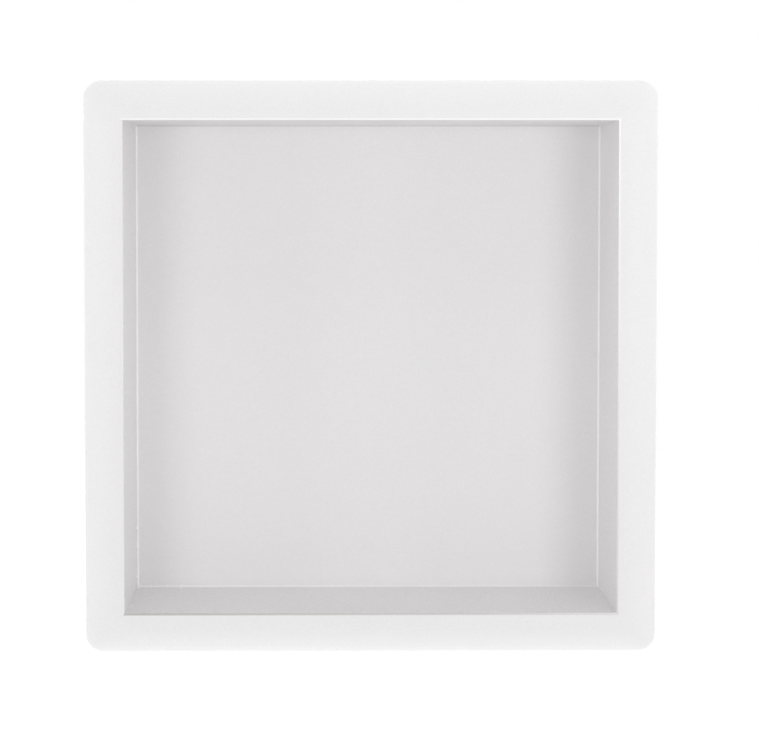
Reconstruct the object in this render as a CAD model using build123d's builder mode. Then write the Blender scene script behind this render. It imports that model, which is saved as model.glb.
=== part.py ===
from build123d import *
from math import asin, cos, pi, sin
import os

# Shower niche insert, cast in one piece: a square recess with a crowned frame around its mouth.
# The origin is the middle of the mouth, on the face of the finished wall. Looking into the niche,
# +X is to the right, +Z is up and +Y runs into the wall, so the frame stands out towards -Y.

# Recess, in millimetres and degrees
OPENING_WIDTH = 300.0
OPENING_HEIGHT = 300.0
NICHE_DEPTH = 100.0  # from the face of the frame to the back panel
WALL_THICKNESS = 6.0
BACK_THICKNESS = 6.0
WALL_DRAFT = 1.0  # frees the casting from its mould, and drains the floor towards the mouth
BACK_RADIUS = 1.2  # hollow edge where the walls meet the back panel
BOX_CORNER_RADIUS = 8.0  # outside of the recess, wall to wall
BOX_BACK_RADIUS = 6.0  # outside of the recess, walls to back

# Frame around the mouth
FRAME_WIDTH = 24.0  # from the mouth out to the rim
FRAME_THICKNESS = 7.0  # from the wall to the land
MOUTH_LAND = 4.0  # flat land between the mouth and the crown
CROWN_DROP = 3.0  # from the land down to where the crown would meet the rim
CORNER_RADIUS = 11.0  # outer corners
MOUTH_RADIUS = 0.8  # rounded edge of the mouth
RIM_RADIUS = 0.8  # rounded edge between the crown and the rim
ROOT_RADIUS = 2.0  # hollow edge between the seat and the recess
ARC_SECTIONS = 6  # outlines that each arc of the frame's section is lofted through

# Planes parallel to the wall, facing the room
seat_plane = Plane.XZ
face_plane = seat_plane.offset(FRAME_THICKNESS)

# The frame's section is an arc that leaves the land level, and a small arc that rolls it over the rim.
# Points on it are the reach out from the mouth and the height above the wall.
crown_run = FRAME_WIDTH - MOUTH_LAND
crown_radius = (crown_run**2 + CROWN_DROP**2) / (2 * CROWN_DROP)
crown_centre_height = FRAME_THICKNESS - crown_radius
rim_centre_reach = FRAME_WIDTH - RIM_RADIUS
roll_angle = asin((rim_centre_reach - MOUTH_LAND) / (crown_radius - RIM_RADIUS))
rim_centre_height = crown_centre_height + (crown_radius - RIM_RADIUS) * cos(roll_angle)


def section_arc(centre_reach, centre_height, radius, low_angle, high_angle):
    """Points up an arc of the frame's section, at angles from the wall's normal."""
    angles = [
        low_angle + (high_angle - low_angle) * step / (ARC_SECTIONS - 1)
        for step in range(ARC_SECTIONS)
    ]
    return [
        (centre_reach + radius * sin(angle), centre_height + radius * cos(angle))
        for angle in angles
    ]


def frame_outline(reach):
    """Draw an outline around the mouth, whose corners grow rounder as it reaches out to the rim."""
    RectangleRounded(
        OPENING_WIDTH + 2 * reach,
        OPENING_HEIGHT + 2 * reach,
        CORNER_RADIUS * reach / FRAME_WIDTH,
    )


rim_roll = section_arc(rim_centre_reach, rim_centre_height, RIM_RADIUS, pi / 2, roll_angle)
crown = section_arc(MOUTH_LAND, crown_centre_height, crown_radius, roll_angle, 0)

# The hollow that the mould's core leaves
with BuildPart() as hollow:
    with BuildSketch(face_plane):
        Rectangle(OPENING_WIDTH, OPENING_HEIGHT)
    extrude(amount=-NICHE_DEPTH)
    draft(hollow.faces() - hollow.faces().filter_by(Axis.Y), face_plane, -WALL_DRAFT)
    fillet(hollow.faces().sort_by(Axis.Y).last.edges(), BACK_RADIUS)

# The outside of the recess behind the frame, with the same draft
with BuildPart() as box:
    with BuildSketch(seat_plane):
        Rectangle(OPENING_WIDTH + 2 * WALL_THICKNESS, OPENING_HEIGHT + 2 * WALL_THICKNESS)
    extrude(amount=-(NICHE_DEPTH + BACK_THICKNESS - FRAME_THICKNESS))
    draft(box.faces() - box.faces().filter_by(Axis.Y), face_plane, -WALL_DRAFT)
    fillet(box.edges() - box.faces().filter_by(Axis.Y).edges(), BOX_CORNER_RADIUS)
    fillet(box.faces().sort_by(Axis.Y).last.edges(), BOX_BACK_RADIUS)

with BuildPart() as niche_insert:
    # Straight side of the rim
    with BuildSketch(seat_plane):
        frame_outline(FRAME_WIDTH)
    extrude(amount=rim_centre_height)
    # Rolled edge of the rim, then the crown up to the land
    for arc in (rim_roll, crown):
        for reach, height in arc:
            with BuildSketch(seat_plane.offset(height)):
                frame_outline(reach)
        loft()
    # Recess, with a hollow edge at the seat and a rounded edge at the mouth
    add(box.part)
    seat = niche_insert.faces().filter_by(Axis.Y).sort_by(Axis.Y)[1]  # between the land and the back
    fillet(seat.inner_wires().edges(), ROOT_RADIUS)
    add(hollow.part, mode=Mode.SUBTRACT)
    land = niche_insert.faces().sort_by(Axis.Y).first
    fillet(land.inner_wires().edges(), MOUTH_RADIUS)

niche_insert.part.label = "niche_insert"

os.makedirs("parts", exist_ok=True)
export_step(niche_insert.part, "parts/niche_insert.step")
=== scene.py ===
"""Looks of a cast shower niche insert: a square recess with a crowned frame around its mouth.

Sizes are in metres. The origin is the middle of the mouth on the face of the wall, +X is to the
right, +Z is up and +Y runs into the wall, so the mouth faces -Y.
"""

import logging
import math
from dataclasses import dataclass
from enum import Enum
from typing import NamedTuple

import bpy
from mathutils import Euler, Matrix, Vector


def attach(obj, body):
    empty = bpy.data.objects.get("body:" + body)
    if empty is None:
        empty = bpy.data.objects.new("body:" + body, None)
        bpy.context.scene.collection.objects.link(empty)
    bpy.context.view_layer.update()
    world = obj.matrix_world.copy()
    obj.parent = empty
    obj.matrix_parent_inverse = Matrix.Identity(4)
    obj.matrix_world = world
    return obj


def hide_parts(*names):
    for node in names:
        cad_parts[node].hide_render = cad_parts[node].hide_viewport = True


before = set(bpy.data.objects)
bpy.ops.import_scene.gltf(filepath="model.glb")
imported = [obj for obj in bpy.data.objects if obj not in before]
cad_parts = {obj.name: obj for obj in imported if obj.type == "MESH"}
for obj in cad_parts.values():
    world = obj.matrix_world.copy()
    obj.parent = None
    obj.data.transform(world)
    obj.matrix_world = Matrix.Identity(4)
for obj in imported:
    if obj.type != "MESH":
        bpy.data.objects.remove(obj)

log = logging.getLogger("niche_insert")

Term = float | bpy.types.NodeSocket
Colour = tuple[float, float, float]
Point = tuple[float, float, float]

MM = 0.001
QUARTER_TURN = math.pi / 2
IMAGE_WIDTH_PX = 759
WHITE = (1.0, 1.0, 1.0)
# White, for highlights painted along edges of the niche
PAINTED_HIGHLIGHT = WHITE
# Dark, for shade painted along edges of the niche
PAINTED_SHADE = (0.42, 0.39, 0.36)
CORNER = 150 * MM  # from the middle of a side of the mouth to its corner
FAR_OFF = 2000 * MM  # so far past a corner that a mark hardly fades on its way there


class CastSide(Enum):
    """Which side of the casting a surface belongs to."""

    FACE = 0.0  # against the polished mould, and seen when fitted
    REAR = 1.0  # against the wall, left as cast


class MouthSide(Enum):
    """A side of the mouth: the coordinate that runs across it, and its sign there."""

    LEFT = ("X", -1.0)
    RIGHT = ("X", 1.0)
    BOTTOM = ("Z", -1.0)
    TOP = ("Z", 1.0)


class Edge(Enum):
    """An edge that runs all round the niche, by the attribute that marks it on the shell."""

    HOLLOW = "hollow"  # between the walls and the back panel
    LIP = "lip"  # between the walls and the frame
    NOSE = "nose"  # inner half of the lip


class Station(NamedTuple):
    """One point of the shell's section, and the outline that it is swept along."""

    reach: float  # out from the line of the mouth
    depth: float  # into the wall
    corner_radius: float = 0.0  # of the outline's corners
    hollow: float = 0.0  # 1 in the middle of the hollow edge around the back panel
    lip: float = 0.0  # 1 on the rounded lip of the mouth
    nose: float = 0.0  # 1 on the inner half of that lip
    wall: float = 0.0  # 1 on the walls of the niche
    side: CastSide = CastSide.FACE


# Values of the section that the shell keeps, for its materials to read
SURFACE_MASKS = (*(edge.value for edge in Edge), "wall")


class NodeTree:
    """Short calls for adding nodes to a tree and linking them."""

    MIX_FACTOR, MIX_UNDER, MIX_OVER, MIX_RESULT = 0, 6, 7, 2  # sockets of a Mix node set to colours

    def __init__(self, tree: bpy.types.NodeTree) -> None:
        """Wrap a node tree."""
        self.tree = tree

    def add(
        self, kind: str, links: dict[str | int, object] | None = None, **settings: object
    ) -> bpy.types.Node:
        """Add a node.

        Args:
            kind: Blender's name for the node type.
            links: Value or output socket for each input, by the input's name or number.
            **settings: Properties of the node, set before its inputs.

        Returns:
            The new node.
        """
        node = self.tree.nodes.new(kind)
        for name, value in settings.items():
            setattr(node, name, value)
        for key, value in (links or {}).items():
            socket = node.inputs[key]
            if isinstance(value, bpy.types.NodeSocket):
                self.tree.links.new(value, socket)
            else:
                socket.default_value = value
        return node

    def math(self, operation: str, *terms: Term) -> bpy.types.NodeSocket:
        """Add a Math node.

        Args:
            operation: Name of the operation.
            *terms: Numbers or output sockets.

        Returns:
            The node's output.
        """
        node = self.add("ShaderNodeMath", dict(enumerate(terms)), operation=operation)
        return node.outputs[0]

    def mix(self, factor: Term, under: bpy.types.NodeSocket, over: Colour) -> bpy.types.NodeSocket:
        """Add a node that lays a colour over another.

        Args:
            factor: Number or output socket, 0 for the lower colour and 1 for the upper one.
            under: Output socket of the lower colour.
            over: Upper colour.

        Returns:
            The mixed colour.
        """
        links = {self.MIX_FACTOR: factor, self.MIX_UNDER: under, self.MIX_OVER: (*over, 1.0)}
        node = self.add("ShaderNodeMix", links, data_type="RGBA")
        return node.outputs[self.MIX_RESULT]

    def link(self, output: bpy.types.NodeSocket, node: bpy.types.Node, key: str | int) -> None:
        """Link an output to the named or numbered input of a node."""
        self.tree.links.new(output, node.inputs[key])


def grown(
    name: str, seed: bpy.types.Mesh, tree: bpy.types.NodeTree, values: dict[str, object]
) -> bpy.types.Object:
    """Run a node tree over a mesh, and keep the result as a plain mesh.

    Args:
        name: Name of the piece.
        seed: Mesh that the tree starts from.
        tree: Geometry node tree.
        values: Value of each named input of the tree.

    Returns:
        The piece, at the origin.
    """
    piece = bpy.data.objects.new(name, seed)
    bpy.context.scene.collection.objects.link(piece)
    modifier = piece.modifiers.new(tree.name, "NODES")
    modifier.node_group = tree
    for item in tree.interface.items_tree:
        if item.name in values:
            modifier[item.identifier] = values[item.name]
    bpy.context.view_layer.update()
    evaluated = piece.evaluated_get(bpy.context.evaluated_depsgraph_get())
    mesh = bpy.data.meshes.new_from_object(evaluated)
    piece.modifiers.clear()
    piece.data = mesh
    return piece


class ResinGrain:
    """Shader group with what the casting shows: clouding, fine grain, drag marks and pale specks.

    The drag marks run along Y, the way that the casting was drawn off its mould.
    """

    NAME = "resin_grain"
    SPECK_CORE = 0.02  # share of the specks' spacing that is fully pale
    SPECK_EDGE = 0.05  # share of it where a speck has faded out
    CLOUD_DETAIL = 3.0
    GRAIN_DETAIL = 2.0
    DRAG_DETAIL = 1.0

    def tree(self) -> bpy.types.NodeTree:
        """Make the group, or find the one that was made before.

        Returns:
            The group's tree.
        """
        made = bpy.data.node_groups.get(self.NAME)
        if made:
            return made
        tree = bpy.data.node_groups.new(self.NAME, "ShaderNodeTree")
        tree.interface.new_socket("Place", in_out="INPUT", socket_type="NodeSocketVector")
        for name in ("Cloud Size", "Grain Size", "Drag Length", "Speck Spacing"):
            tree.interface.new_socket(name, in_out="INPUT", socket_type="NodeSocketFloat")
        for name in ("Cloud", "Grain", "Drag", "Speck"):
            tree.interface.new_socket(name, in_out="OUTPUT", socket_type="NodeSocketFloat")
        nodes = NodeTree(tree)
        given = nodes.add("NodeGroupInput").outputs

        def noise(size: str, detail: float, length: str = "") -> bpy.types.NodeSocket:
            """Noise of a given size.

            Args:
                size: Input that gives the size of its features.
                detail: How much finer noise is added to it.
                length: Input that gives their length along Y, if that is another.

            Returns:
                The noise, from 0 to 1.
            """
            across = nodes.math("DIVIDE", 1.0, given[size])
            along = nodes.math("DIVIDE", 1.0, given[length or size])
            scale = nodes.add("ShaderNodeCombineXYZ", {"X": across, "Y": along, "Z": across}).outputs[0]
            place = nodes.add("ShaderNodeVectorMath", {0: given["Place"], 1: scale}, operation="MULTIPLY")
            links = {"Vector": place.outputs[0], "Scale": 1.0, "Detail": detail}
            return nodes.add("ShaderNodeTexNoise", links).outputs[0]

        spacing = nodes.math("DIVIDE", 1.0, given["Speck Spacing"])
        cells = nodes.add("ShaderNodeTexVoronoi", {"Vector": given["Place"], "Scale": spacing})
        speck = nodes.add(
            "ShaderNodeMapRange",
            {
                "Value": cells.outputs["Distance"],
                "From Min": self.SPECK_CORE,
                "From Max": self.SPECK_EDGE,
                "To Min": 1.0,
                "To Max": 0.0,
            },
        )
        nodes.add(
            "NodeGroupOutput",
            {
                "Cloud": noise("Cloud Size", self.CLOUD_DETAIL),
                "Grain": noise("Grain Size", self.GRAIN_DETAIL),
                "Drag": noise("Grain Size", self.DRAG_DETAIL, "Drag Length"),
                "Speck": speck.outputs[0],
            },
        )
        return tree


class Scuff(NamedTuple):
    """A pale rub mark on the niche's floor, long and thin."""

    x: float
    depth: float
    half_length: float
    half_width: float
    slope: float  # depth gained along X

    def mask(self, nodes: NodeTree, place: bpy.types.NodeSocket) -> bpy.types.NodeSocket:
        """Mask of the mark.

        Args:
            nodes: Tree of the material.
            place: Object coordinates.

        Returns:
            1 on its middle line, 0 outside it.
        """
        axis = nodes.add("ShaderNodeSeparateXYZ", {0: place}).outputs
        run = nodes.math("SUBTRACT", axis["X"], self.x)
        line = nodes.math("MULTIPLY_ADD", run, self.slope, self.depth)
        off = nodes.math("DIVIDE", nodes.math("SUBTRACT", axis["Y"], line), self.half_width)
        along = nodes.math("DIVIDE", run, self.half_length)
        spread = nodes.math("ADD", nodes.math("MULTIPLY", off, off), nodes.math("MULTIPLY", along, along))
        inside = nodes.math("MAXIMUM", nodes.math("SUBTRACT", 1.0, spread), 0.0)
        return nodes.math("MULTIPLY", inside, nodes.math("LESS_THAN", axis["Z"], 0.0))


class EdgeMark(NamedTuple):
    """A line along one side of an edge of the niche, which fades towards one end.

    It is a painted highlight where pale, and painted shade where dark.
    """

    edge: Edge
    side: MouthSide
    full: float  # place along the side where it is strongest
    gone: float  # place where it has faded out, which may lie past the corner
    colour: Colour
    strength: float

    def mask(self, nodes: NodeTree, place: bpy.types.NodeSocket) -> bpy.types.NodeSocket:
        """Mask of the mark, which ends at the mitres of its side.

        Args:
            nodes: Tree of the material.
            place: Object coordinates.

        Returns:
            The mark's strength where it is strongest, and 0 off its edge or on its other sides.
        """
        axis = nodes.add("ShaderNodeSeparateXYZ", {0: place}).outputs
        across, sign = self.side.value
        along = "Z" if across == "X" else "X"
        mitre = nodes.math("ABSOLUTE", axis[along])
        on_side = nodes.math("GREATER_THAN", nodes.math("MULTIPLY", axis[across], sign), mitre)
        fade = nodes.add(
            "ShaderNodeMapRange",
            {
                "Value": axis[along],
                "From Min": self.gone,
                "From Max": self.full,
                "To Min": 0.0,
                "To Max": self.strength,
            },
        )
        on_edge = nodes.add("ShaderNodeAttribute", attribute_name=self.edge.value).outputs["Fac"]
        return nodes.math("MULTIPLY", nodes.math("MULTIPLY", on_side, on_edge), fade.outputs[0])


@dataclass(frozen=True)
class CastResin:
    """Finish of mineral-filled resin, on one side of the casting."""

    name: str
    colour: Colour
    mottle: float  # share by which clouding changes the tone either way
    cloud_size: float
    grain_size: float
    grain_mottle: float  # share by which the filler's grains change the tone either way
    grain_height: float
    roughness: float
    roughness_drift: float
    speck_spacing: float
    speck_lift: float  # how far a speck goes towards white
    drag_length: float = 4 * MM
    drag_mottle: float = 0.0  # share by which drag marks change the tone of the walls either way
    scuffs: tuple[Scuff, ...] = ()
    scuff_lift: float = 0.0  # how far a scuff goes towards white
    # Highlights and shade painted along edges of the niche
    edge_marks: tuple[EdgeMark, ...] = ()

    def material(self) -> bpy.types.Material:
        """Dress a new material in this finish.

        Returns:
            The material.
        """
        material = bpy.data.materials.new(self.name)
        material.use_nodes = True
        nodes = NodeTree(material.node_tree)
        shader = material.node_tree.nodes["Principled BSDF"]
        place = nodes.add("ShaderNodeTexCoord").outputs["Object"]
        grain = nodes.add(
            "ShaderNodeGroup",
            {
                "Place": place,
                "Cloud Size": self.cloud_size,
                "Grain Size": self.grain_size,
                "Drag Length": self.drag_length,
                "Speck Spacing": self.speck_spacing,
            },
            node_tree=ResinGrain().tree(),
        ).outputs

        wall = nodes.add("ShaderNodeAttribute", attribute_name="wall").outputs["Fac"]
        tone = 1.0
        for noise, share in (
            (grain["Cloud"], self.mottle),
            (grain["Grain"], self.grain_mottle),
            (grain["Drag"], nodes.math("MULTIPLY", wall, self.drag_mottle)),
        ):
            either_way = nodes.math("MULTIPLY_ADD", noise, 2.0, -1.0)
            tone = nodes.math("MULTIPLY_ADD", either_way, share, tone)
        toned = nodes.add("ShaderNodeVectorMath", {0: self.colour, "Scale": tone}, operation="SCALE")
        specked = nodes.math("MULTIPLY", grain["Speck"], self.speck_lift)
        paint = nodes.mix(specked, toned.outputs[0], WHITE)
        for scuff in self.scuffs:
            rubbed = nodes.math("MULTIPLY", scuff.mask(nodes, place), grain["Grain"])
            paint = nodes.mix(nodes.math("MULTIPLY", rubbed, self.scuff_lift), paint, WHITE)
        # Lay the highlights and shade painted along the edges of the niche
        for mark in self.edge_marks:
            paint = nodes.mix(mark.mask(nodes, place), paint, mark.colour)
        nodes.link(paint, shader, "Base Color")

        smoothest = self.roughness - self.roughness_drift / 2
        roughness = nodes.math("MULTIPLY_ADD", grain["Cloud"], self.roughness_drift, smoothest)
        nodes.link(roughness, shader, "Roughness")
        relief = nodes.math("MULTIPLY_ADD", grain["Drag"], wall, grain["Grain"])
        bump = nodes.add("ShaderNodeBump", {"Height": relief, "Distance": self.grain_height})
        nodes.link(bump.outputs[0], shader, "Normal")
        return material


@dataclass
class NicheInsert:
    """The casting: recess and frame in one shell, swept around the mouth from one section."""

    half_opening: float = CORNER
    niche_depth: float = 100 * MM  # from the face of the frame to the back panel
    wall_thickness: float = 6 * MM
    back_thickness: float = 6 * MM
    wall_draft: float = math.radians(1.0)
    back_radius: float = 1.2 * MM
    box_corner_radius: float = 8 * MM
    box_back_radius: float = 6 * MM
    frame_width: float = 24 * MM
    frame_thickness: float = 7 * MM
    mouth_land: float = 4 * MM
    crown_drop: float = 3 * MM
    corner_radius: float = 11 * MM
    mouth_radius: float = 0.8 * MM
    hollow_spread: float = 1.6  # how broadly the mask of the hollow edge is full
    lip_rise: float = 0.5  # share of the lip's turn over which its mask rises
    lip_fade: float = 0.6 * MM  # how far that mask spreads on to the land
    nose_end: float = 0.8  # share of the lip's turn where the mask of its inner half ends
    nose_ramp: float = 0.2  # share of it over which that mask rises, and falls
    rim_radius: float = 0.8 * MM
    root_radius: float = 2 * MM
    arc_steps: int = 10  # of each arc in the section
    corner_steps: int = 14  # of each rounded corner
    side_steps: int = 16  # of each straight side
    longest_run: float = 18 * MM  # of the section, between two stations
    weld_distance: float = 0.001 * MM
    crease_angle: float = math.radians(25.0)
    rear_share: float = 0.25  # of a face on the rear, from which it has the rear's finish
    face_finish: CastResin = CastResin(
        name="satin_cast_face",
        colour=(0.844, 0.833, 0.837),
        mottle=0.012,
        cloud_size=60 * MM,
        grain_size=0.9 * MM,
        grain_mottle=0.06,
        grain_height=0.015 * MM,
        roughness=0.4,
        roughness_drift=0.08,
        speck_spacing=11 * MM,
        speck_lift=0.35,
        scuffs=(
            Scuff(x=-53 * MM, depth=59.7 * MM, half_length=34 * MM, half_width=1.6 * MM, slope=0.3),
            Scuff(x=33 * MM, depth=82.4 * MM, half_length=10 * MM, half_width=1.4 * MM, slope=-0.26),
        ),
        scuff_lift=0.35,
        drag_mottle=0.12,
        edge_marks=(
            # Painted highlights along the hollow edge at the left, right and bottom, and painted shade along
            # it at the top
            EdgeMark(Edge.HOLLOW, MouthSide.LEFT, -CORNER, FAR_OFF, PAINTED_HIGHLIGHT, 0.95),
            EdgeMark(Edge.HOLLOW, MouthSide.RIGHT, -CORNER, FAR_OFF, PAINTED_HIGHLIGHT, 0.95),
            EdgeMark(Edge.HOLLOW, MouthSide.BOTTOM, -CORNER, 400 * MM, PAINTED_HIGHLIGHT, 0.8),
            EdgeMark(Edge.HOLLOW, MouthSide.TOP, -CORNER, FAR_OFF, PAINTED_SHADE, 0.2),
            # Painted highlights on the lip at the top and upper right and on its inner half at the lower
            # right; painted shade on the lip at the lower right and along the bottom
            EdgeMark(Edge.LIP, MouthSide.TOP, CORNER, -FAR_OFF, PAINTED_HIGHLIGHT, 1.0),
            EdgeMark(Edge.LIP, MouthSide.RIGHT, CORNER, -20 * MM, PAINTED_HIGHLIGHT, 1.0),
            EdgeMark(Edge.LIP, MouthSide.RIGHT, -CORNER, 20 * MM, PAINTED_SHADE, 0.3),
            EdgeMark(Edge.LIP, MouthSide.BOTTOM, -CORNER, 400 * MM, PAINTED_SHADE, 0.7),
            EdgeMark(Edge.LIP, MouthSide.BOTTOM, -CORNER, 20 * MM, PAINTED_SHADE, 0.35),
            EdgeMark(Edge.NOSE, MouthSide.BOTTOM, 125 * MM, 70 * MM, PAINTED_HIGHLIGHT, 0.7),
        ),
    )
    rear_finish: CastResin = CastResin(
        name="rough_cast_rear",
        colour=(0.80, 0.79, 0.78),
        mottle=0.05,
        cloud_size=35 * MM,
        grain_size=3 * MM,
        grain_mottle=0.06,
        grain_height=0.12 * MM,
        roughness=0.7,
        roughness_drift=0.15,
        speck_spacing=9 * MM,
        speck_lift=0.2,
    )

    def wall_reach(self, depth: float, thickness: float) -> float:
        """Reach of a drafted wall of the recess.

        Args:
            depth: Depth into the wall.
            thickness: How far the surface lies outside the hollow, at the face of the frame.

        Returns:
            The reach there.
        """
        return thickness - (depth + self.frame_thickness) * math.tan(self.wall_draft)

    def arc(
        self, centre: tuple[float, float], radius: float, start: float, end: float
    ) -> list[tuple[float, float]]:
        """Points on an arc of the section.

        Args:
            centre: Reach and depth of its centre.
            radius: Its radius.
            start: First angle, from straight out (0) towards the wall (a quarter turn).
            end: Last angle.

        Returns:
            Reach and depth of each point.
        """
        angles = [start + (end - start) * step / self.arc_steps for step in range(self.arc_steps + 1)]
        return [(centre[0] + radius * math.cos(a), centre[1] + radius * math.sin(a)) for a in angles]

    def section(self) -> list[Station]:
        """Section of the shell, from the middle of the back panel round to the middle of its rear.

        Returns:
            Its stations, in that order.
        """
        quarter, draft = QUARTER_TURN, self.wall_draft
        slant = 1 / math.cos(draft)
        back = self.niche_depth - self.frame_thickness
        foot_depth = back - self.back_radius
        foot = (self.wall_reach(foot_depth, 0) - self.back_radius * slant, foot_depth)
        mouth_depth = self.mouth_radius - self.frame_thickness
        mouth = (self.wall_reach(mouth_depth, 0) + self.mouth_radius * slant, mouth_depth)
        stations = [Station(-self.half_opening, back)]
        for step, (r, d) in enumerate(self.arc(foot, self.back_radius, quarter, draft)):
            turned = step / self.arc_steps
            hollow = min(1.0, self.hollow_spread * math.sin(math.pi * turned))
            stations.append(Station(r, d, hollow=hollow, wall=turned))
        for step, (r, d) in enumerate(self.arc(mouth, self.mouth_radius, draft + math.pi, 3 * quarter)):
            turned = step / self.arc_steps
            lip = min(1.0, turned / self.lip_rise)
            nose = min(1.0, max(0.0, min(turned, self.nose_end - turned) / self.nose_ramp))
            stations.append(Station(r, d, lip=lip, nose=nose, wall=1 - turned))
        stations.append(Station(stations[-1].reach + self.lip_fade, -self.frame_thickness))

        run = self.frame_width - self.mouth_land
        crown_radius = (run**2 + self.crown_drop**2) / (2 * self.crown_drop)
        crown = (self.mouth_land, crown_radius - self.frame_thickness)
        roll_reach = self.frame_width - self.rim_radius
        roll = math.acos((roll_reach - self.mouth_land) / (crown_radius - self.rim_radius))
        rim = (roll_reach, crown[1] - (crown_radius - self.rim_radius) * math.sin(roll))
        front = self.arc(crown, crown_radius, -quarter, -roll)
        front += self.arc(rim, self.rim_radius, -roll, 0)[1:]
        front.append((self.frame_width, 0.0))
        growth = self.corner_radius / self.frame_width
        stations += [Station(r, d, r * growth) for r, d in front]

        root_depth = self.root_radius
        root = (self.wall_reach(root_depth, self.wall_thickness) + self.root_radius * slant, root_depth)
        heel_depth = back + self.back_thickness - self.box_back_radius
        heel = (self.wall_reach(heel_depth, self.wall_thickness) - self.box_back_radius * slant, heel_depth)
        for centre, radius, start, end in (
            (root, self.root_radius, 3 * quarter, 2 * quarter + draft),
            (heel, self.box_back_radius, draft, quarter),
        ):
            for r, d in self.arc(centre, radius, start, end):
                outward = r - self.wall_reach(d, self.wall_thickness)
                stations.append(Station(r, d, self.box_corner_radius + outward, side=CastSide.REAR))
        stations.append(Station(-self.half_opening, back + self.back_thickness, side=CastSide.REAR))
        return self.divided(stations)

    def hollow_edge(self) -> tuple[float, float]:
        """Half width and depth of the middle of the hollow edge around the back panel."""
        middle = max(self.section(), key=lambda s: s.hollow * min(s.wall, 1 - s.wall))
        return self.half_opening + middle.reach, middle.depth

    def divided(self, stations: list[Station]) -> list[Station]:
        """Split the long straight runs of a section.

        Args:
            stations: Section to split.

        Returns:
            The same section, with no run longer than the longest allowed.
        """
        split = [stations[0]]
        for a, b in zip(stations, stations[1:]):
            parts = math.ceil(math.dist(a[:2], b[:2]) / self.longest_run)
            for part in range(1, parts):
                share = part / parts
                split.append(Station(*(p + (q - p) * share for p, q in zip(a[:-1], b[:-1])), b.side))
            split.append(b)
        return split

    def section_mesh(self) -> bpy.types.Mesh:
        """Draw the section as a line of vertices.

        Returns:
            The line, with reach along X, depth along Y and the stations' other values as attributes.
        """
        stations = self.section()
        mesh = bpy.data.meshes.new("niche_section")
        runs = [(i, i + 1) for i in range(len(stations) - 1)]
        mesh.from_pydata([(s.reach, s.depth, 0) for s in stations], runs, [])
        names = ("corner_radius", *SURFACE_MASKS)
        traits = {name: [getattr(s, name) for s in stations] for name in names}
        traits["rear"] = [s.side.value for s in stations]
        for name, values in traits.items():
            mesh.attributes.new(name, "FLOAT", "POINT").data.foreach_set("value", values)
        return mesh

    def sweep_tree(self) -> bpy.types.NodeTree:
        """Node tree that sweeps a section around the mouth, along outlines with rounded corners.

        Returns:
            The tree, which turns a section into the shell.
        """
        tree = bpy.data.node_groups.new("niche_sweep", "GeometryNodeTree")
        for name, kind in (
            ("Section", "NodeSocketGeometry"),
            ("Half Opening", "NodeSocketFloat"),
            ("Corner Steps", "NodeSocketInt"),
            ("Side Steps", "NodeSocketInt"),
            ("Crease Angle", "NodeSocketFloat"),
            ("Face Finish", "NodeSocketMaterial"),
            ("Rear Finish", "NodeSocketMaterial"),
        ):
            tree.interface.new_socket(name, in_out="INPUT", socket_type=kind)
        tree.interface.new_socket("Shell", in_out="OUTPUT", socket_type="NodeSocketGeometry")
        nodes = NodeTree(tree)
        given = nodes.add("NodeGroupInput").outputs

        def parted(number: Term, size: Term) -> tuple[bpy.types.NodeSocket, bpy.types.NodeSocket]:
            """Divide a whole number.

            Args:
                number: The number.
                size: What it is divided by.

            Returns:
                How many whole times the size goes into the number, and what is left over.
            """
            middle = nodes.math("ADD", number, 0.5)  # clear of rounding at either end
            times = nodes.math("FLOOR", nodes.math("DIVIDE", middle, size))
            return times, nodes.math("SUBTRACT", number, nodes.math("MULTIPLY", times, size))

        # Grid of stations by steps around the four quarters of the mouth, whose last step meets its first
        section = nodes.add(
            "GeometryNodeAttributeDomainSize", {"Geometry": given["Section"]}, component="MESH"
        )
        per_quarter = nodes.math("ADD", given["Corner Steps"], given["Side Steps"])
        around = nodes.math("MULTIPLY_ADD", per_quarter, 4.0, 1.0)
        grid = nodes.add(
            "GeometryNodeMeshGrid", {"Vertices X": section.outputs["Point Count"], "Vertices Y": around}
        )
        station, step = parted(nodes.add("GeometryNodeInputIndex").outputs[0], around)

        def sampled(kind: str, value: bpy.types.NodeSocket) -> bpy.types.NodeSocket:
            """Value of the section at this vertex's station."""
            links = {"Geometry": given["Section"], "Value": value, "Index": station}
            return nodes.add("GeometryNodeSampleIndex", links, data_type=kind, domain="POINT").outputs[0]

        def attribute(name: str) -> bpy.types.NodeSocket:
            """Named value of the section at this vertex's station."""
            named = nodes.add("GeometryNodeInputNamedAttribute", {"Name": name}, data_type="FLOAT")
            return sampled("FLOAT", named.outputs["Attribute"])

        place = nodes.add(
            "ShaderNodeSeparateXYZ",
            {0: sampled("FLOAT_VECTOR", nodes.add("GeometryNodeInputPosition").outputs[0])},
        ).outputs
        radius = attribute("corner_radius")

        # Each quarter turns round one corner, then runs along the side to the next
        quarter, local = parted(step, per_quarter)
        turned = nodes.math("MINIMUM", nodes.math("DIVIDE", local, given["Corner Steps"]), 1.0)
        angle = nodes.math("MULTIPLY", nodes.math("ADD", quarter, turned), QUARTER_TURN)
        past_corner = nodes.math("MAXIMUM", nodes.math("SUBTRACT", local, given["Corner Steps"]), 0.0)
        along = nodes.math("DIVIDE", past_corner, given["Side Steps"])
        half = nodes.math("ADD", given["Half Opening"], place["X"])
        diagonal = nodes.math("MULTIPLY", nodes.math("SUBTRACT", half, radius), math.sqrt(2))
        here = nodes.math("MULTIPLY_ADD", quarter, QUARTER_TURN, QUARTER_TURN / 2)
        there = nodes.math("ADD", here, QUARTER_TURN)

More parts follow.
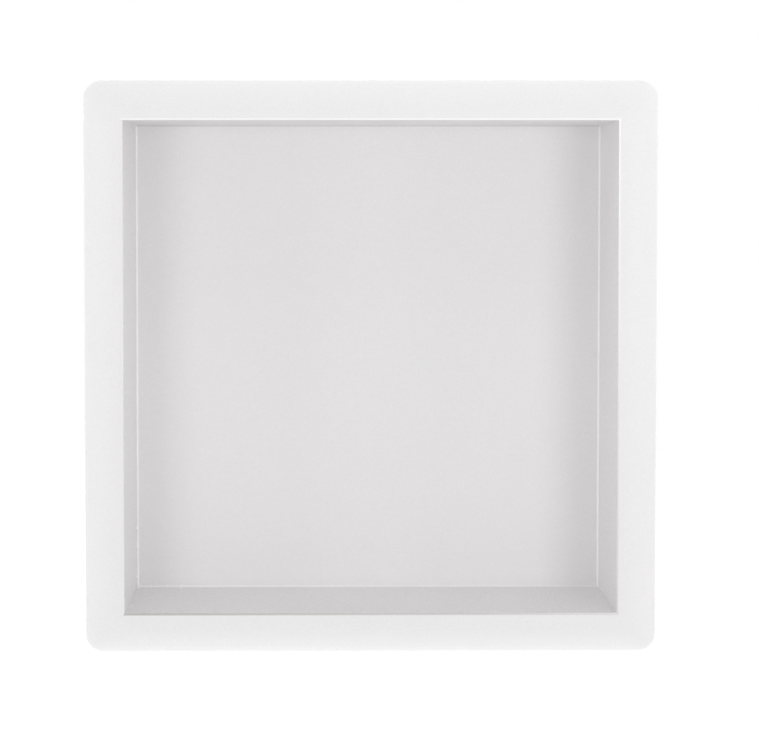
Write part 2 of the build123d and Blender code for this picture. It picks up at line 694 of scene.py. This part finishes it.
        def across(function: str) -> bpy.types.NodeSocket:
            """Coordinate of a vertex across the mouth.

            Args:
                function: COSINE for X, SINE for Z.

            Returns:
                The coordinate.
            """
            start = nodes.math("MULTIPLY", nodes.math(function, here), diagonal)
            end = nodes.math("MULTIPLY", nodes.math(function, there), diagonal)
            run = nodes.math("MULTIPLY", nodes.math("SUBTRACT", end, start), along)
            bend = nodes.math("MULTIPLY", nodes.math(function, angle), radius)
            return nodes.math("ADD", nodes.math("ADD", start, run), bend)

        swept = nodes.add(
            "GeometryNodeSetPosition",
            {
                "Geometry": grid.outputs["Mesh"],
                "Position": nodes.add(
                    "ShaderNodeCombineXYZ", {"X": across("COSINE"), "Y": place["Y"], "Z": across("SINE")}
                ).outputs[0],
            },
        )
        marked = swept.outputs[0]
        for name in ("rear", *SURFACE_MASKS):
            marked = nodes.add(
                "GeometryNodeStoreNamedAttribute",
                {"Geometry": marked, "Name": name, "Value": attribute(name)},
                data_type="FLOAT",
                domain="POINT",
            ).outputs[0]
        closed = nodes.add(
            "GeometryNodeMergeByDistance", {"Geometry": marked, "Distance": self.weld_distance}
        )

        # Smooth, apart from the mitres between flat walls
        smooth = nodes.add(
            "GeometryNodeSetShadeSmooth", {"Geometry": closed.outputs[0], "Shade Smooth": True}
        )
        bend = nodes.add("GeometryNodeInputMeshEdgeAngle").outputs["Unsigned Angle"]
        creased = nodes.add(
            "GeometryNodeSetShadeSmooth",
            {
                "Geometry": smooth.outputs[0],
                "Shade Smooth": nodes.math("LESS_THAN", bend, given["Crease Angle"]),
            },
            domain="EDGE",
        )
        real = nodes.add("GeometryNodeRealizeInstances", {"Geometry": creased.outputs[0]})
        faced = nodes.add(
            "GeometryNodeSetMaterial", {"Geometry": real.outputs[0], "Material": given["Face Finish"]}
        )
        rear = nodes.add("GeometryNodeInputNamedAttribute", {"Name": "rear"}, data_type="FLOAT")
        on_rear = nodes.math("GREATER_THAN", rear.outputs["Attribute"], self.rear_share)
        backed = nodes.add(
            "GeometryNodeSetMaterial",
            {"Geometry": faced.outputs[0], "Selection": on_rear, "Material": given["Rear Finish"]},
        )
        nodes.add("NodeGroupOutput", {"Shell": backed.outputs[0]})
        return tree

    def build(self) -> bpy.types.Object:
        """Sweep the shell and dress it.

        Returns:
            The finished piece, which stands for the CAD node.
        """
        values = {
            "Half Opening": self.half_opening,
            "Corner Steps": self.corner_steps,
            "Side Steps": self.side_steps,
            "Crease Angle": self.crease_angle,
            "Face Finish": self.face_finish.material(),
            "Rear Finish": self.rear_finish.material(),
        }
        piece = grown("niche_shell", self.section_mesh(), self.sweep_tree(), values)
        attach(piece, "root")
        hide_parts("niche_insert")
        return piece


class Bead(NamedTuple):
    """A drop of resin, by its middle and its half widths along X, Y and Z."""

    place: Point
    size: Point


@dataclass
class ResinBeads:
    """Drops of resin that set around the lower left corner of the niche, where the mould let them run."""

    edge_half: float  # half width of the hollow edge around the back panel
    edge_depth: float
    left_heights: tuple[float, ...] = (-109.0 * MM, -120.5 * MM, -140.2 * MM)
    left_gap: float = 10 * MM  # from the hollow edge forward to the drops on the left wall
    low_places: tuple[float, ...] = (-139.6 * MM, -129.2 * MM)
    drop: float = 0.75 * MM  # half width of a small one
    flatness: float = 0.6  # of the drops on the back panel
    sink: float = 0.4 * MM  # from the hollow edge out to the surfaces on either side of it
    corner_size: Point = (1.2 * MM, 3 * MM, 1.2 * MM)
    drip_place: float = -120.0 * MM  # of the one that ran down the back panel and out on the floor
    drip_size: Point = (0.7 * MM, 0.5 * MM, 0.8 * MM)
    foot_size: Point = (0.8 * MM, 4.5 * MM, 0.6 * MM)
    floor_place: Point = (-147.6 * MM, 20.8 * MM, -149.6 * MM)
    floor_drop: float = 1 * MM
    rounding: int = 3
    finish: CastResin = CastResin(
        name="set_resin_drop",
        colour=(0.96, 0.947, 0.952),
        mottle=0.01,
        cloud_size=4 * MM,
        grain_size=0.8 * MM,
        grain_mottle=0.02,
        grain_height=0.01 * MM,
        roughness=0.3,
        roughness_drift=0.08,
        speck_spacing=11 * MM,
        speck_lift=0.2,
    )

    def beads(self) -> list[Bead]:
        """Place every drop, sunk in the surface that it set on.

        Returns:
            The drops, from the left wall round to the floor.
        """
        half, depth = self.edge_half, self.edge_depth
        wall, back = half + self.sink, depth + self.sink
        ball, flat = (self.drop,) * 3, (self.drop, self.drop * self.flatness, self.drop)
        drops = [Bead((-wall, depth - self.left_gap, z), ball) for z in self.left_heights]
        drops += [Bead((x, back, self.drop / 2 - half), flat) for x in self.low_places]
        drops.append(Bead((-half, depth - self.corner_size[1], -half), self.corner_size))
        drops.append(Bead((self.drip_place, back, self.drip_size[2] - half), self.drip_size))
        drops.append(Bead((self.drip_place, depth - self.foot_size[1], -wall), self.foot_size))
        drops.append(Bead(self.floor_place, (self.floor_drop,) * 3))
        return drops

    def scatter_tree(self) -> bpy.types.NodeTree:
        """Node tree that sets a drop on each point, at that point's own size.

        Returns:
            The tree, which turns points into drops.
        """
        tree = bpy.data.node_groups.new("resin_drops", "GeometryNodeTree")
        for name, kind in (
            ("Places", "NodeSocketGeometry"),
            ("Rounding", "NodeSocketInt"),
            ("Finish", "NodeSocketMaterial"),
        ):
            tree.interface.new_socket(name, in_out="INPUT", socket_type=kind)
        tree.interface.new_socket("Drops", in_out="OUTPUT", socket_type="NodeSocketGeometry")
        nodes = NodeTree(tree)
        given = nodes.add("NodeGroupInput").outputs
        ball = nodes.add("GeometryNodeMeshIcoSphere", {"Radius": 1.0, "Subdivisions": given["Rounding"]})
        size = nodes.add("GeometryNodeInputNamedAttribute", {"Name": "drop_size"}, data_type="FLOAT_VECTOR")
        placed = nodes.add(
            "GeometryNodeInstanceOnPoints",
            {"Points": given["Places"], "Instance": ball.outputs["Mesh"], "Scale": size.outputs["Attribute"]},
        )
        real = nodes.add("GeometryNodeRealizeInstances", {"Geometry": placed.outputs[0]})
        smooth = nodes.add("GeometryNodeSetShadeSmooth", {"Geometry": real.outputs[0], "Shade Smooth": True})
        dressed = nodes.add(
            "GeometryNodeSetMaterial", {"Geometry": smooth.outputs[0], "Material": given["Finish"]}
        )
        nodes.add("NodeGroupOutput", {"Drops": dressed.outputs[0]})
        return tree

    def build(self) -> bpy.types.Object:
        """Set the drops.

        Returns:
            One piece with all of them.
        """
        drops = self.beads()
        seed = bpy.data.meshes.new("drop_places")
        seed.from_pydata([drop.place for drop in drops], [], [])
        sizes = [width for drop in drops for width in drop.size]
        seed.attributes.new("drop_size", "FLOAT_VECTOR", "POINT").data.foreach_set("vector", sizes)
        values = {"Rounding": self.rounding, "Finish": self.finish.material()}
        piece = grown("resin_drops", seed, self.scatter_tree(), values)
        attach(piece, "root")
        return piece


@dataclass(frozen=True)
class SoftBox:
    """A flat lamp that faces the niche."""

    name: str
    azimuth: float  # degrees to the right of straight in front
    elevation: float  # degrees above straight in front
    distance: float
    width: float
    height: float
    power: float

    def build(self) -> bpy.types.Object:
        """Hang the lamp and turn it to the niche.

        Returns:
            The lamp.
        """
        data = bpy.data.lights.new(self.name, "AREA")
        data.shape = "RECTANGLE"
        data.size, data.size_y, data.energy = self.width, self.height, self.power
        lamp = bpy.data.objects.new(self.name, data)
        bpy.context.scene.collection.objects.link(lamp)
        a, e = math.radians(self.azimuth), math.radians(self.elevation)
        away = Vector((math.sin(a) * math.cos(e), -math.cos(a) * math.cos(e), math.sin(e)))
        lamp.location = away * self.distance
        lamp.rotation_euler = (-away).to_track_quat("-Z", "Y").to_euler()
        lamp.visible_camera = False
        return lamp


@dataclass
class Studio:
    """White room around the niche: dome, lamps, floor and camera."""

    dome_strength: float = 0.525
    floor_level: float = -450 * MM
    floor_half_size: float = 4.0
    floor_colour: Colour = (0.7, 0.7, 0.7)
    floor_roughness: float = 0.9
    floor_glow: float = 0.7  # seen by the camera alone, so that the floor is white
    # Name, azimuth, elevation, distance, width, height and power
    lamps: tuple[SoftBox, ...] = (
        SoftBox("left_bank", -20, 0, 1.7, 0.4, 0.6, 3.15),
        SoftBox("right_bank", 20, 0, 1.7, 0.4, 0.6, 3.8),
        SoftBox("left_wing", -60, 0, 1.6, 0.6, 0.5, 2.6),
        SoftBox("right_wing", 60, 0, 1.6, 0.6, 0.5, 2.35),
        SoftBox("left_edge", -91.5, 12, 1.4, 0.1, 0.9, 4.6),
        SoftBox("right_edge", 91.5, 12, 1.4, 0.1, 0.9, 4.3),
        SoftBox("top_edge", 0, 91.5, 1.4, 0.9, 0.1, 3.6),
        SoftBox("low_edge", 0, -94, 0.44, 0.9, 0.08, 1.5),
        SoftBox("overhead", 0, 68, 0.48, 0.6, 0.2, 0.28),
        SoftBox("upper_right_fill", 50, 30, 0.5, 0.2, 0.2, 0.05),
        SoftBox("rear_left", -150, 20, 1.8, 0.8, 0.8, 2.5),
        SoftBox("rear_right", 150, 20, 1.8, 0.8, 0.8, 2.5),
    )
    camera_place: Point = (-31.1 * MM, -1783.7 * MM, 125.3 * MM)
    camera_pitch: float = math.radians(3.32)  # downwards
    camera_yaw: float = math.radians(-0.39)  # to the left
    focal_length_px: float = 2935.0
    sensor_width_mm: float = 36.0
    picture_shift_px: tuple[float, float] = (-40.0, -40.0)  # of the picture, right and down

    def seen(self, nodes: NodeTree) -> bpy.types.NodeSocket:
        """Mask of the rays that show the background.

        Args:
            nodes: Tree of the world or of the floor's material.

        Returns:
            1 for a ray from the camera, or by way of gloss or glass, and 0 for light on the niche.
        """
        path = nodes.add("ShaderNodeLightPath").outputs
        mirrored = nodes.math("MAXIMUM", path["Is Glossy Ray"], path["Is Transmission Ray"])
        return nodes.math("MAXIMUM", path["Is Camera Ray"], mirrored)

    def build_dome(self) -> None:
        """Light the scene evenly, with a white background behind it."""
        world = bpy.data.worlds.new("white_dome")
        bpy.context.scene.world = world
        world.use_nodes = True
        nodes = NodeTree(world.node_tree)
        background = world.node_tree.nodes["Background"]
        background.inputs["Color"].default_value = (*WHITE, 1)
        strength = nodes.math("MULTIPLY_ADD", self.seen(nodes), 1 - self.dome_strength, self.dome_strength)
        nodes.link(strength, background, "Strength")

    def build_floor(self) -> bpy.types.Object:
        """Lay a pale floor that is white to the camera and still takes shadows.

        Returns:
            The floor.
        """
        half, level = self.floor_half_size, self.floor_level
        corners = [(x * half, y * half, level) for x, y in ((-1, -1), (1, -1), (1, 1), (-1, 1))]
        mesh = bpy.data.meshes.new("studio_floor")
        mesh.from_pydata(corners, [], [(0, 1, 2, 3)])
        floor = bpy.data.objects.new("studio_floor", mesh)
        bpy.context.scene.collection.objects.link(floor)
        material = bpy.data.materials.new("pale_floor")
        material.use_nodes = True
        nodes = NodeTree(material.node_tree)
        shader = material.node_tree.nodes["Principled BSDF"]
        shader.inputs["Base Color"].default_value = (*self.floor_colour, 1)
        shader.inputs["Roughness"].default_value = self.floor_roughness
        shader.inputs["Emission Color"].default_value = (*WHITE, 1)
        nodes.link(nodes.math("MULTIPLY", self.seen(nodes), self.floor_glow), shader, "Emission Strength")
        mesh.materials.append(material)
        return floor

    def build_camera(self) -> bpy.types.Object:
        """Stand the camera where the picture was taken from.

        Returns:
            The camera.
        """
        data = bpy.data.cameras.new("camera")
        data.sensor_fit = "HORIZONTAL"
        data.sensor_width = self.sensor_width_mm
        data.lens = self.sensor_width_mm * self.focal_length_px / IMAGE_WIDTH_PX
        data.shift_x = -self.picture_shift_px[0] / IMAGE_WIDTH_PX
        data.shift_y = self.picture_shift_px[1] / IMAGE_WIDTH_PX
        camera = bpy.data.objects.new("camera", data)
        bpy.context.scene.collection.objects.link(camera)
        camera.location = self.camera_place
        camera.rotation_euler = Euler((QUARTER_TURN - self.camera_pitch, 0, self.camera_yaw))
        bpy.context.scene.camera = camera
        return camera

    def build(self) -> None:
        """Set up the whole studio."""
        bpy.context.scene.view_settings.view_transform = "Standard"
        self.build_dome()
        self.build_floor()
        for lamp in self.lamps:
            lamp.build()
        self.build_camera()


def main() -> None:
    """Build the niche and its studio."""
    logging.basicConfig(level=logging.INFO, format="%(name)s: %(message)s")
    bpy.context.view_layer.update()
    insert = NicheInsert()
    for piece in (insert.build(), ResinBeads(*insert.hollow_edge()).build()):
        log.info("%s: %d faces", piece.name, len(piece.data.polygons))
    Studio().build()


if __name__ == "__main__":
    main()
